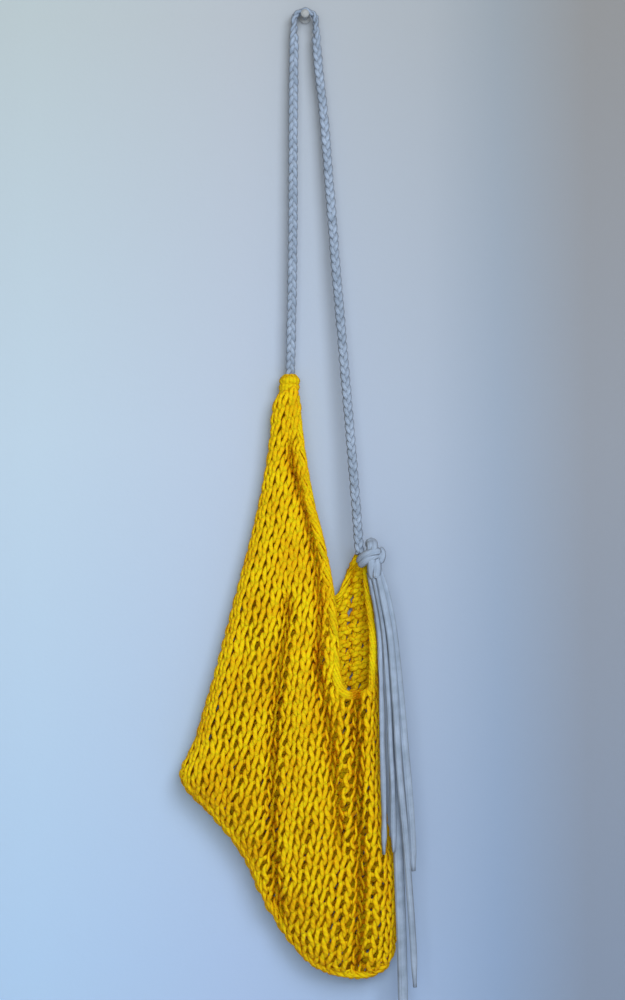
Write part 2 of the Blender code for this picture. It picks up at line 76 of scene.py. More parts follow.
def new_material(name):
    """An empty material: its node tree, its shader and a function that adds a node."""
    made = bpy.data.materials.new(name)
    made.use_nodes = True
    tree = made.node_tree
    shader = tree.nodes["Principled BSDF"]

    def add(kind, **values):
        node = tree.nodes.new(kind)
        for key, value in values.items():
            if hasattr(node, key):
                setattr(node, key, value)
            else:
                node.inputs[key.replace("_", " ")].default_value = value
        return node

    return made, tree, shader, add


def set_tones(ramp, tones):
    """Give a colour ramp its tones, each a place and a colour."""
    stops = ramp.color_ramp.elements
    for stop, (spot, tone) in zip((stops[0], stops[1]), (tones[0], tones[-1])):
        stop.position = spot
        stop.color = tone
    for spot, tone in tones[1:-1]:
        stops.new(spot).color = tone


def plaster():
    """Painted plaster with painted shade that darkens it toward the right and a painted light tint by height.
    Seen from behind it isn't there.
    """
    made, tree, shader, add = new_material("wall_plaster")
    place_on_wall = add("ShaderNodeNewGeometry")
    apart = add("ShaderNodeSeparateXYZ")
    # The tone ramp is painted shade, darker toward the right; the tint ramp is painted light by height.
    tones = add("ShaderNodeValToRGB")
    set_tones(tones, WALL_PAINTED_SHADE)
    painted_light_ramp = add("ShaderNodeValToRGB")
    set_tones(painted_light_ramp, WALL_PAINTED_LIGHT)
    rise = add("ShaderNodeMath", operation="ADD")
    rise.inputs[1].default_value = 1.0
    painted_light_mix = add("ShaderNodeMix", data_type="RGBA", blend_type="MULTIPLY")
    painted_light_mix.inputs[0].default_value = 1.0
    shift = add("ShaderNodeMath", operation="MULTIPLY_ADD")
    shift.inputs[1].default_value = 1.0
    shift.inputs[2].default_value = 0.5
    grain = add("ShaderNodeTexNoise", Scale=260.0, Detail=6.0)
    bump = add("ShaderNodeBump", Strength=0.12, Distance=0.0006)
    clear = add("ShaderNodeBsdfTransparent")
    mix = add("ShaderNodeMixShader")
    out = tree.nodes["Material Output"]
    tree.links.new(place_on_wall.outputs["Position"], apart.inputs[0])
    tree.links.new(apart.outputs["X"], shift.inputs[0])
    tree.links.new(shift.outputs[0], tones.inputs[0])
    tree.links.new(apart.outputs["Z"], rise.inputs[0])
    tree.links.new(rise.outputs[0], painted_light_ramp.inputs[0])
    tree.links.new(tones.outputs[0], painted_light_mix.inputs["A"])
    tree.links.new(painted_light_ramp.outputs[0], painted_light_mix.inputs["B"])
    tree.links.new(painted_light_mix.outputs["Result"], shader.inputs["Base Color"])
    tree.links.new(place_on_wall.outputs["Position"], grain.inputs["Vector"])
    tree.links.new(grain.outputs["Fac"], bump.inputs["Height"])
    tree.links.new(bump.outputs[0], shader.inputs["Normal"])
    tree.links.new(place_on_wall.outputs["Backfacing"], mix.inputs[0])
    tree.links.new(shader.outputs[0], mix.inputs[1])
    tree.links.new(clear.outputs[0], mix.inputs[2])
    tree.links.new(mix.outputs[0], out.inputs["Surface"])
    shader.inputs["Roughness"].default_value = 0.9
    shader.inputs["Specular IOR Level"].default_value = 0.2
    return made


def floor_paint():
    made, _, shader, _ = new_material("floor_paint")
    shader.inputs["Base Color"].default_value = (0.62, 0.65, 0.68, 1)
    shader.inputs["Roughness"].default_value = 0.8
    return made


side, low, top = WALL_WIDTH / 2, -FLOOR_DROP, WALL_TOP
wall_corners = [(-side, WALL_GAP, low), (side, WALL_GAP, low), (side, WALL_GAP, top), (-side, WALL_GAP, top)]
flat_stage("wall", wall_corners, plaster())
near, far = -FLOOR_DEPTH, FLOOR_DEPTH
floor_corners = [(-side, near, low), (side, near, low), (side, far, low), (-side, far, low)]
flat_stage("floor", floor_corners, floor_paint())


def aimed(name, data, spot, target):
    """A lamp or camera at a spot, turned to look at a target."""
    made = bpy.data.objects.new(name, data)
    bpy.context.scene.collection.objects.link(made)
    way = np.array(target, float) - np.array(spot, float)
    level = math.hypot(way[0], way[1])
    made.location = spot
    made.rotation_euler = (math.pi / 2 + math.atan2(way[2], level), 0, math.atan2(-way[0], way[1]))
    return made


lens = bpy.data.cameras.new("camera")
lens.lens = LENS
lens.sensor_fit = "VERTICAL"
lens.sensor_height = SENSOR
camera_off = VIEW_HEIGHT * LENS / SENSOR + OBJECT_OFF
camera_spot = (VIEW_MIDDLE[0], -camera_off, VIEW_MIDDLE[1])
bpy.context.scene.camera = aimed("camera", lens, camera_spot, (VIEW_MIDDLE[0], 0, VIEW_MIDDLE[1]))

window = bpy.data.lights.new("window", "AREA")
window.shape = "RECTANGLE"
window.size = 1.3
window.size_y = 1.4
window.energy = 34
window.color = (0.98, 0.98, 1.0)
aimed("window", window, (0.80, -2.0, 0.40), (0, 0, -0.50))
room = bpy.data.lights.new("room", "AREA")
room.size = 1.4
room.energy = 19
room.color = (1.0, 0.96, 0.90)
aimed("room", room, (-0.25, -2.6, -0.2), (0, 0, -0.5))
world = bpy.data.worlds.new("sky")
world.use_nodes = True
world.node_tree.nodes["Background"].inputs["Color"].default_value = (1.0, 0.88, 0.74, 1)
world.node_tree.nodes["Background"].inputs["Strength"].default_value = 0.31
bpy.context.scene.world = world
bpy.context.scene.view_settings.view_transform = "Standard"

# The peg: a small turned wooden peg with a rounded head, painted a pale grey like the wall and glued into it.
# It keeps its own solid and gets a satin paint that is worn a little in small random marks.

PEG_PAINT = (0.36, 0.41, 0.45, 1)
PEG_WORN = (0.30, 0.33, 0.36, 1)


def satin_paint():
    made, tree, shader, add = new_material("satin_paint")
    spot = add("ShaderNodeTexCoord")
    marks = add("ShaderNodeTexNoise", Scale=420.0, Detail=5.0)
    ramp = add("ShaderNodeValToRGB")
    set_tones(ramp, [(0.35, PEG_WORN), (0.62, PEG_PAINT)])
    bump = add("ShaderNodeBump", Strength=0.15, Distance=0.0002)
    tree.links.new(spot.outputs["Object"], marks.inputs["Vector"])
    tree.links.new(marks.outputs["Fac"], ramp.inputs[0])
    tree.links.new(ramp.outputs[0], shader.inputs["Base Color"])
    tree.links.new(marks.outputs["Fac"], bump.inputs["Height"])
    tree.links.new(bump.outputs[0], shader.inputs["Normal"])
    shader.inputs["Roughness"].default_value = 0.6
    return made


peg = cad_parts["wall_peg"]
peg.material_slots[0].material = satin_paint()

# The strap: one long flat plait of three strips of grey-blue cotton jersey, whose edges curl in so that each
# strip is a soft roll. Its left end sits in the bag's knitted sleeve, and it hangs over the peg to the knot.

MM = 0.001
# The last of these is painted shade for the strands' sides that turn away from view.
JERSEY_DARK, JERSEY_PALE, JERSEY_PAINTED_SHADE = (0.27, 0.37, 0.52, 1), (0.40, 0.53, 0.73, 1), (0.11, 0.115, 0.125, 1)
JERSEY_RIBS, JERSEY_ROW = 9, 1.1
STRAP_WIDTH = 9.8
PLAIT_PERIOD = 27.0
STRAND_WIDTH, STRAND_DEPTH = 5.2, 4.2
STRAND_DIVE, STRAND_SWING = 1.7, 1.12
CROWN_SQUEEZE = 0.92
CROWN_OFF, CROWN_RISE, LOOP_RADIUS = 12.0, 5.45, 11.6
# How far apart along the strap the strands are pulled tighter or looser, and how much. Then how plump.
TUGS_REACH, PULL_STEP, PULL_SIZE = 1100, 22, 0.16
PLUMP_STEP, PLUMP_SIZE = 9, 0.06
TURN_START, TURN_END = 14.0, 52.0
# across, drop, off
LEFT_LEG = [(-16.8, 396, 15), (-15.5, 375, 15), (-15, 350, 15), (-13.9, 302, 15), (-13.2, 250, 15),
            (-12.8, 197, 14.5), (-12.6, 113, 14), (-12.2, 71, 13), (-11.7, 30, 12.2)]
RIGHT_LEG = [(12.2, 30, 12.2), (16, 71, 13), (19.3, 100, 13.5), (22.6, 140, 14.5), (27, 197, 16),
             (35.5, 302, 19.5), (45.5, 418, 23), (49, 460, 24.5), (53.2, 512, 26), (55.2, 540, 28.5),
             (57.3, 568.6, 30.8)]


def place(points):
    """Points in metres from the tables' across, drop and off."""
    points = np.asarray(points, float)
    return np.stack([points[..., 0], -points[..., 2], -points[..., 1]], axis=-1) * MM


def smooth(points, steps):
    """Points on a smooth curve through the given ones, with that many steps between each two."""
    p = np.array(points, float)
    ends = np.vstack([2 * p[0] - p[1], p, 2 * p[-1] - p[-2]])
    out = []
    for k in range(len(p) - 1):
        a, b, c, d = ends[k : k + 4]
        for t in np.arange(steps) / steps:
            bend = (2 * a - 5 * b + 4 * c - d) * t**2
            out.append(0.5 * (2 * b + (c - a) * t + bend + (3 * b - a - 3 * c + d) * t**3))
    out.append(p[-1])
    return np.array(out)


def lengths_along(line):
    return np.concatenate([[0], np.cumsum(np.linalg.norm(np.diff(line, axis=0), axis=1))])


def even_steps(line, step):
    """The same line with points that many millimetres apart."""
    along = lengths_along(line)
    at = np.linspace(0, along[-1], max(2, round(along[-1] / step) + 1))
    return np.stack([np.interp(at, along, line[:, k]) for k in range(line.shape[1])], axis=1)


def ease(share):
    share = np.clip(share, 0, 1)
    return share * share * (3 - 2 * share)


def unit(vectors):
    return vectors / np.maximum(np.linalg.norm(vectors, axis=-1, keepdims=True), 1e-12)


def ways_along(line):
    """At each point of a line: its direction, the way out in the wall's plane, and the way to the room."""
    tangent = unit(np.gradient(line, axis=0))
    side = unit(np.cross(tangent, [0.0, 0.0, 1.0]))
    return tangent, side, np.cross(side, tangent)


def tube_rings(line, outward, wide, deep, sides):
    """Rings of points round a line, "wide" across it and "deep" along the outward way, and turned with it."""
    tangent = unit(np.gradient(line, axis=0))
    side = unit(np.cross(tangent, outward))
    up = np.cross(side, tangent)
    turn = math.tau * np.arange(sides) / sides
    wide = np.broadcast_to(np.asarray(wide, float), (len(line),))[:, None, None] / 2
    deep = np.broadcast_to(np.asarray(deep, float), (len(line),))[:, None, None] / 2
    return (line[:, None] + wide * np.cos(turn)[None, :, None] * side[:, None]
            + deep * np.sin(turn)[None, :, None] * up[:, None])


def mesh_of_tubes(name, tubes, finish):
    """One mesh of many closed tubes, each given as rings. Its UV map runs along in millimetres, and round."""
    vertices, faces, uv = [], [], []
    start = 0
    for rings in tubes:
        count, sides = rings.shape[:2]
        along = lengths_along(rings.mean(axis=1))
        ids = start + np.arange(count * sides).reshape(count, sides)
        after = np.roll(ids, -1, axis=1)
        quads = np.stack([ids[:-1], after[:-1], after[1:], ids[1:]], axis=-1).reshape(-1, 4)
        u = np.repeat(along[:, None], sides, axis=1)
        v = np.repeat(np.arange(sides)[None] / sides, count, axis=0)
        w = v + 1 / sides
        corners = np.stack([u[:-1], v[:-1], u[:-1], w[:-1], u[1:], w[1:], u[1:], v[1:]], axis=-1)
        vertices.append(rings.reshape(-1, 3))
        faces += quads.tolist()
        uv.append(corners.reshape(-1, 2))
        faces += [ids[0][::-1].tolist(), ids[-1].tolist()]
        uv.append(np.zeros((2 * sides, 2)))
        start += count * sides
    mesh = bpy.data.meshes.new(name)
    mesh.from_pydata(place(np.vstack(vertices)), [], faces)
    mesh.shade_smooth()
    layer = mesh.uv_layers.new(name="yarn")
    layer.data.foreach_set("uv", np.vstack(uv).astype(np.float32).ravel())
    mesh.materials.append(finish)
    made = bpy.data.objects.new(name, mesh)
    bpy.context.scene.collection.objects.link(made)
    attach(made, "root")
    return made


def jersey():
    """Cotton jersey: fine ribs along each strip, a matt face with a soft bloom, uneven washed dye, and a
    near-black painted shade on the strands' sides that turn away from view.
    """
    made, tree, shader, add = new_material("jersey")
    uv = add("ShaderNodeUVMap", uv_map="yarn")
    apart = add("ShaderNodeSeparateXYZ")
    ribs = add("ShaderNodeMath", operation="MULTIPLY")
    ribs.inputs[1].default_value = math.tau * JERSEY_RIBS
    rib_wave = add("ShaderNodeMath", operation="SINE")
    rows = add("ShaderNodeMath", operation="MULTIPLY")
    rows.inputs[1].default_value = math.tau / JERSEY_ROW
    row_wave = add("ShaderNodeMath", operation="SINE")
    knit = add("ShaderNodeMath", operation="ADD")
    bump = add("ShaderNodeBump", Strength=0.55, Distance=0.0004)
    spot = add("ShaderNodeTexCoord")
    dye = add("ShaderNodeTexNoise", Scale=70.0, Detail=5.0)
    ramp = add("ShaderNodeValToRGB")
    set_tones(ramp, [(0.3, JERSEY_DARK), (0.7, JERSEY_PALE)])
    tree.links.new(uv.outputs[0], apart.inputs[0])
    tree.links.new(apart.outputs["Y"], ribs.inputs[0])
    tree.links.new(ribs.outputs[0], rib_wave.inputs[0])
    tree.links.new(apart.outputs["X"], rows.inputs[0])
    tree.links.new(rows.outputs[0], row_wave.inputs[0])
    tree.links.new(rib_wave.outputs[0], knit.inputs[0])
    tree.links.new(row_wave.outputs[0], knit.inputs[1])
    tree.links.new(knit.outputs[0], bump.inputs["Height"])
    tree.links.new(bump.outputs[0], shader.inputs["Normal"])
    tree.links.new(spot.outputs["Object"], dye.inputs["Vector"])
    tree.links.new(dye.outputs["Fac"], ramp.inputs[0])
    # Painted shade: the strands' sides that turn away from view are mixed toward near black.
    turned = add("ShaderNodeLayerWeight", Blend=0.38)
    strand_edge_shade = add("ShaderNodeMix", data_type="RGBA")
    strand_edge_shade.inputs["B"].default_value = JERSEY_PAINTED_SHADE
    tree.links.new(turned.outputs["Facing"], strand_edge_shade.inputs[0])
    tree.links.new(ramp.outputs[0], strand_edge_shade.inputs["A"])
    tree.links.new(strand_edge_shade.outputs["Result"], shader.inputs["Base Color"])
    shader.inputs["Roughness"].default_value = 0.88
    shader.inputs["Specular IOR Level"].default_value = 0.25
    shader.inputs["Sheen Weight"].default_value = 0.12
    shader.inputs["Sheen Roughness"].default_value = 0.5
    return made


def strap_line():
    """The strap's centreline, from its end in the sleeve, over the peg, to the knot."""
    turn = np.linspace(math.pi, 0, 13)[1:-1]
    crown = [
        (LOOP_RADIUS * math.cos(a), LOOP_RADIUS * (1 - math.sin(a)) - CROWN_RISE, CROWN_OFF)
        for a in turn
    ]
    return even_steps(smooth(LEFT_LEG + crown + RIGHT_LEG, 8), 1.5)


grey_jersey = jersey()
strap_path = strap_line()
strap_along = lengths_along(strap_path)
_, sideways, to_room = ways_along(strap_path)
crown_at = strap_along[np.argmin(strap_path[:, 1])]
edge_on = 1 - ease((np.abs(strap_along - crown_at) - TURN_START) / (TURN_END - TURN_START))
strap_angle = (edge_on * math.pi / 2)[:, None]
wide_way = sideways * np.cos(strap_angle) + to_room * np.sin(strap_angle)
deep_way = to_room * np.cos(strap_angle) - sideways * np.sin(strap_angle)
squeeze = 1 + edge_on * (CROWN_SQUEEZE - 1)
tugs = np.random.default_rng(4)
pull_at, plump_at = np.arange(0, TUGS_REACH, PULL_STEP), np.arange(0, TUGS_REACH, PLUMP_STEP)
strands = []
for strand in range(3):
    pull = np.interp(strap_along, pull_at, tugs.normal(0, PULL_SIZE, len(pull_at)))
    phase = math.tau * (strap_along / PLAIT_PERIOD + strand / 3) + pull
    swing = (STRAP_WIDTH - STRAND_WIDTH) / 2 * np.sin(phase) * STRAND_SWING
    dive = -STRAND_DIVE * squeeze * np.sin(2 * phase)
    line = strap_path + wide_way * swing[:, None] + deep_way * dive[:, None]
    plump = 1 + PLUMP_SIZE * np.interp(strap_along, plump_at, tugs.normal(0, 1, len(plump_at)))
    strands.append(tube_rings(line, deep_way, STRAND_WIDTH * plump, STRAND_DEPTH * squeeze * plump, 10))
strap = mesh_of_tubes("jersey_plait", strands, grey_jersey)
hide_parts("plaited_strap")

# The bag: one piece of stocking stitch in a thick soft cotton yarn, on big needles, so that open gaps show
# between the loops. It is folded in two at its left side, and its upper edge rolls over round the mouth.

# The last of these is painted shade for the yarn's sides that turn away from view.
YARN_DARK, YARN_PALE, YARN_PAINTED_SHADE = (0.72, 0.45, 0.002, 1), (0.86, 0.65, 0.004, 1), (0.66, 0.21, 0.001, 1)
YARN_WIDE, YARN_DEEP = 5.1, 2.9
PLY_LENGTH = 5.5
YARN_SIDES = 8
STITCH_STEPS = 22
# A stitch's width and height, then how far its legs lean, close in, rise, stand out and stay upright.
WALE, COURSE = 12.4, 13.6
LOOP_LEAN = 2.25
LOOP_CLOSE = 0.35
LOOP_RISE = 9.6
LOOP_DEPTH = 1.5
LOOP_UPRIGHT = 0.07
# The courses rise to the right. The wales fan out: how they lean at the left and right of one level.
COURSE_TILT = -0.34
FAN_LEVEL = 735.0
FAN_LEFT, FAN_RIGHT = -120.0, 84.0
LEAN_LEFT, LEAN_RIGHT = -0.27, -0.085
TOP_ROW = 400
# The hand's uneven tension: how far stitches slide and sag, how the yarn swells, and the waves behind it.
UNEVEN_ACROSS, UNEVEN_DOWN, YARN_SWELL = 0.10, 0.08, 0.07
SWING_WAVES, SWING_QUICK, SWING_LEVEL = 7, 1.5, 2.6

# Sections of the bag from the neck on the left, along the bottom edge, to the tip on the right. Each one runs
# from the rolled front rim of the mouth down to the outer edge ("keel") and up the back to the back rim.
# front rim across, drop; keel across, drop; back rim across, drop
SECTIONS = [
    (-6, 402, -30, 403, -7, 402),
    (-4, 424, -34, 428, -6, 424),
    (1, 464, -40, 480, -2, 464),
    (9, 510, -53, 543, 5, 510),
    (20, 553, -73, 618, 13, 554),
    (29, 598, -95, 698, 21, 588),
    (34, 634, -116, 768, 27, 606),
    (36, 664, -130, 806, 30, 613),
    (37, 690, -97, 845, 31, 615),
    (40, 705, -64, 888, 32, 615),
    (45, 711, -39, 942, 34, 613),
    (50, 712, 5, 999, 36, 610),
    (56, 712, 54, 1015, 38, 606),
    (62, 710, 87, 1002, 40, 601),
    (67, 706, 95, 962, 42, 596),
    (69, 699, 95, 903, 44, 591),
    (70, 688, 84, 846, 46, 586),
    (71, 668, 79, 780, 48, 581),
    (71, 646, 78, 712, 50, 576),
    (68, 620, 75, 655, 52, 571),
    (64, 597, 69, 617, 54, 567),
    (61, 581, 65, 592, 56, 565),
]
KEEL_OFF, TIP_OFF = 16.0, 23.6
BACK_DEPTH, NECK_DEPTH, TIP_DEPTH = 10.0, 9.0, 5.0
BACK_TURN, RIGHT_ARM_BACK_TURN, RIGHT_ARM_TURN = 14.0, 9.0, 12.0
NECK_CURL_RUN, NECK_CURL_SHARE = 12.0, 0.42
FRONT_FOLD_RUN, BACK_FOLD_RUN, BACK_FOLD_AT_TIP = 14.0, 12.0, 0.1
NECK_FOOT, NECK_RUN = 468, 60
RIGHT_ARM_ACROSS, RIGHT_ARM_RUN_ACROSS = 44, 8
RIGHT_ARM_FOOT, RIGHT_ARM_RUN = 730, 50
TIP_FOOT, TIP_RUN = 612, 45
FOLD_FADE = 32.0
# How far the front stands forward of the keel, and how wide the keel's round turn is, by drop.
FRONT_FULLNESS = np.array([(400, 9, 12), (470, 10, 16), (560, 14, 26), (640, 20, 34), (720, 25, 40),
                           (820, 30, 42), (940, 28, 42), (1016, 22, 36)], float)
# Creases (negative) and ridges: height, width, [(across, drop), ...]
FRONT_FOLDS = [
    (-25.0, 5.0, [(54, 728), (55, 800), (58, 915), (55, 1000)]),
    (-19.0, 4.5, [(14, 688), (25, 752), (33, 822), (36, 858)]),
    (-19.0, 5.0, [(-19, 632), (-30, 722), (-34, 800), (-33, 885), (-26, 950)]),
    (-15.0, 4.0, [(-16, 470), (-6, 505), (4, 545), (12, 590), (15, 640), (13, 690)]),
    (5.5, 8.0, [(44, 722), (43, 780), (39, 850)]),
    (6.0, 15.0, [(-2, 690), (2, 800), (12, 930)]),
    (6.0, 9.0, [(68, 735), (72, 850), (80, 955)]),
    (-5.0, 9.0, [(-62, 660), (-78, 740), (-84, 815)]),
]
BACK_FOLDS = [
    (4.0, 15.0, [(52, 580), (50, 640), (49, 700), (47, 750)]),
    (-5.0, 3.5, [(50, 575), (48, 610), (47, 650), (46, 700), (47, 750)]),
]
# The rolled edge, seen along it: how far in from the rim the cloth lies, and how far it stands out. It comes
# from the bag, rises over the roll, turns back at the rim and ends inside.
ROLL_PATH = np.array([(16, 0), (12, 0.9), (9, 2.0), (6.4, 2.9), (4, 2.9), (2.2, 2.1), (1.1, 0.7), (0.8, -1.0),
                      (1.6, -2.6), (3.6, -3.7), (8, -4.2), (12, -4.4)], float)
ROLL_START_DROP, ROLL_START_RUN, ROLL_FADE_DROP, ROLL_FADE_RUN = 410, 60, 575, 30
ROLL_LEAST = 0.45
BACK_ROLL_LIFT = -0.4
OUTLINE_STEP = 2.0
POINTS_AT_ONCE, EDGE_BLEND = 4000, 5.0

sections = np.array(SECTIONS, float)
front_rim = even_steps(smooth(sections[:, 0:2], 12), OUTLINE_STEP)
keel = even_steps(smooth(sections[:, 2:4], 12), OUTLINE_STEP)
back_rim = even_steps(smooth(sections[:, 4:6], 12), OUTLINE_STEP)


def inward_from(points, line, hand):
    """How far each plan point lies inside a line (negative outside), and the way inward near it."""
    tangent = unit(np.gradient(line, axis=0))
    inward = hand * np.stack([tangent[:, 1], -tangent[:, 0]], axis=1)
    inside = np.empty(len(points))
    way = np.empty((len(points), 2))
    for k in range(0, len(points), POINTS_AT_ONCE):
        some = points[k : k + POINTS_AT_ONCE]
        gap = np.linalg.norm(some[:, None] - line[None], axis=2)
        near = gap.argmin(axis=1)
        inside[k : k + POINTS_AT_ONCE] = np.einsum("ij,ij->i", some - line[near], inward[near])
        weight = np.exp(-(gap - gap.min(axis=1, keepdims=True)) / EDGE_BLEND)
        way[k : k + POINTS_AT_ONCE] = unit(weight @ inward)
    return inside, way


def fold_heights(folds, across, drop):
    """The sum of the folds' heights at each plan point."""
    total = np.zeros_like(across)
    for height, width, path in folds:
        line = smooth(path, 8)
        middle = np.interp(drop, line[:, 1], line[:, 0])
        fade = ease(1 + (drop - line[0, 1]) / FOLD_FADE) * ease(1 + (line[-1, 1] - drop) / FOLD_FADE)
        total += height * fade * np.exp(-(((across - middle) / width) ** 2))
    return total


def turn_sizes(plan, to_rim):
    """The keel's round turn at each plan point: width and depth before and behind, and the tip's share."""
    across, drop = plan[:, 0], plan[:, 1]
    right = ease((across - RIGHT_ARM_ACROSS) / RIGHT_ARM_RUN_ACROSS)
    right = right * ease((RIGHT_ARM_FOOT - drop) / RIGHT_ARM_RUN)
    tip = right * ease((TIP_FOOT - drop) / TIP_RUN)
    neck = ease((NECK_FOOT - drop) / NECK_RUN) * (across < RIGHT_ARM_ACROSS)
    in_share = np.clip(to_rim / NECK_CURL_RUN, 0, 1)
    curl = NECK_CURL_SHARE + (1 - NECK_CURL_SHARE) * np.sqrt(1 - (1 - in_share) ** 2)
    forward = np.interp(drop, FRONT_FULLNESS[:, 0], FRONT_FULLNESS[:, 1])
    turn = np.interp(drop, FRONT_FULLNESS[:, 0], FRONT_FULLNESS[:, 2])
    turn = turn + right * (RIGHT_ARM_TURN - turn)
    forward = (forward + tip * (TIP_DEPTH - forward)) * (1 + neck * (curl - 1))
    depth = BACK_DEPTH + neck * (NECK_DEPTH - BACK_DEPTH)
    depth = (depth + tip * (TIP_DEPTH - depth)) * (1 + neck * (curl - 1))
    back_turn = BACK_TURN + right * (RIGHT_ARM_BACK_TURN - BACK_TURN)
    return (turn, forward), (back_turn, depth), tip


def quarter(a, b):
    """The length of a quarter of an ellipse."""
    return math.pi / 4 * (3 * (a + b) - np.sqrt((3 * a + b) * (a + 3 * b)))


def lay_cloth(flat, face, rolled_over=True):
    """Where flat cloth lies on the bag, in front (face 1) or behind (face -1): its edge round the mouth is
    rolled over, and at the keel it turns round to the other face. Also how far in from rim and keel it is."""
    to_rim, way = inward_from(flat, front_rim if face > 0 else back_rim, -1)
    along_roll = lengths_along(ROLL_PATH)
    rolled = np.clip(ROLL_PATH[0, 0] - to_rim, 0, along_roll[-1])
    inset = np.interp(rolled, along_roll, ROLL_PATH[:, 0])
    roll = ease((flat[:, 1] - ROLL_START_DROP) / ROLL_START_RUN)
    at_tip = ease((flat[:, 1] - ROLL_FADE_DROP) / ROLL_FADE_RUN)
    roll = np.where(flat[:, 0] > RIGHT_ARM_ACROSS, roll * at_tip, roll)
    lift = np.interp(rolled, along_roll, ROLL_PATH[:, 1]) * (ROLL_LEAST + (1 - ROLL_LEAST) * roll)
    if face < 0:
        lift = BACK_ROLL_LIFT * lift
    near_rim = (to_rim < ROLL_PATH[0, 0]) & rolled_over
    lift = lift * rolled_over
    plan = np.where(near_rim[:, None], flat + way * (inset - to_rim)[:, None], flat)
    in_from_rim = np.where(near_rim, inset, to_rim)
    to_keel, way = inward_from(plan, keel, 1)
    front_turn, back_turn, tip = turn_sizes(plan, in_from_rim)
    (turn, depth), (far_turn, far_depth) = (front_turn, back_turn) if face > 0 else (back_turn, front_turn)
    reach = quarter(turn, depth)
    far_reach = quarter(far_turn, far_depth)
    spare = to_keel + reach - turn
    angle = math.pi / 2 * np.clip(spare / reach, 0, 1)
    far_angle = math.pi / 2 * np.clip(-spare / far_reach, 0, 1)
    past = np.maximum(-spare - far_reach, 0)
    kept = np.where(to_keel >= turn, to_keel, turn * (1 - np.cos(angle)))
    kept = np.where(spare < 0, far_turn * (1 - np.cos(far_angle)) + past, kept)
    height = np.where(to_keel >= turn, depth, depth * np.sin(angle))
    height = np.where(spare < 0, -far_depth * np.sin(far_angle), height)
    plan = plan + way * (kept - to_keel)[:, None]
    in_front = (spare > 0) if face > 0 else (spare < 0)
    front_folds = ease(kept / FRONT_FOLD_RUN) * fold_heights(FRONT_FOLDS, plan[:, 0], plan[:, 1])
    back_share = ease(kept / BACK_FOLD_RUN) * (1 + tip * (BACK_FOLD_AT_TIP - 1))
    back_folds = back_share * fold_heights(BACK_FOLDS, plan[:, 0], plan[:, 1])
    folds = np.where(in_front, front_folds, back_folds)
    off = KEEL_OFF + tip * (TIP_OFF - KEEL_OFF) + face * height + folds + lift
    return np.column_stack([plan, off]), to_rim, spare


def flat_from_stitch(wale, course, pitch=WALE):
    """Flat cloth's across and drop from the count of wales and courses. The wales fan out from the neck."""
    foot = FAN_LEFT + pitch * wale
    share = (foot - FAN_LEFT) / (FAN_RIGHT - FAN_LEFT)
    lean = LEAN_LEFT + (LEAN_RIGHT - LEAN_LEFT) * share
    row = TOP_ROW + COURSE * course
    drop = (row + COURSE_TILT * (foot - lean * FAN_LEVEL)) / (1 - COURSE_TILT * lean)
    return np.column_stack([foot + lean * (drop - FAN_LEVEL), drop])


def uneven(seed):
    """A smooth irregular swing over the counts of wales and courses, as a hand's changing tension gives."""
    rng = np.random.default_rng(seed)
    waves = rng.normal(0, SWING_QUICK, (SWING_WAVES, 2))
    starts = rng.uniform(0, math.tau, SWING_WAVES)

    def swing(wale, course):
        return sum(np.sin(a * wale + b * course + c) for (a, b), c in zip(waves, starts)) / SWING_LEVEL

    return swing


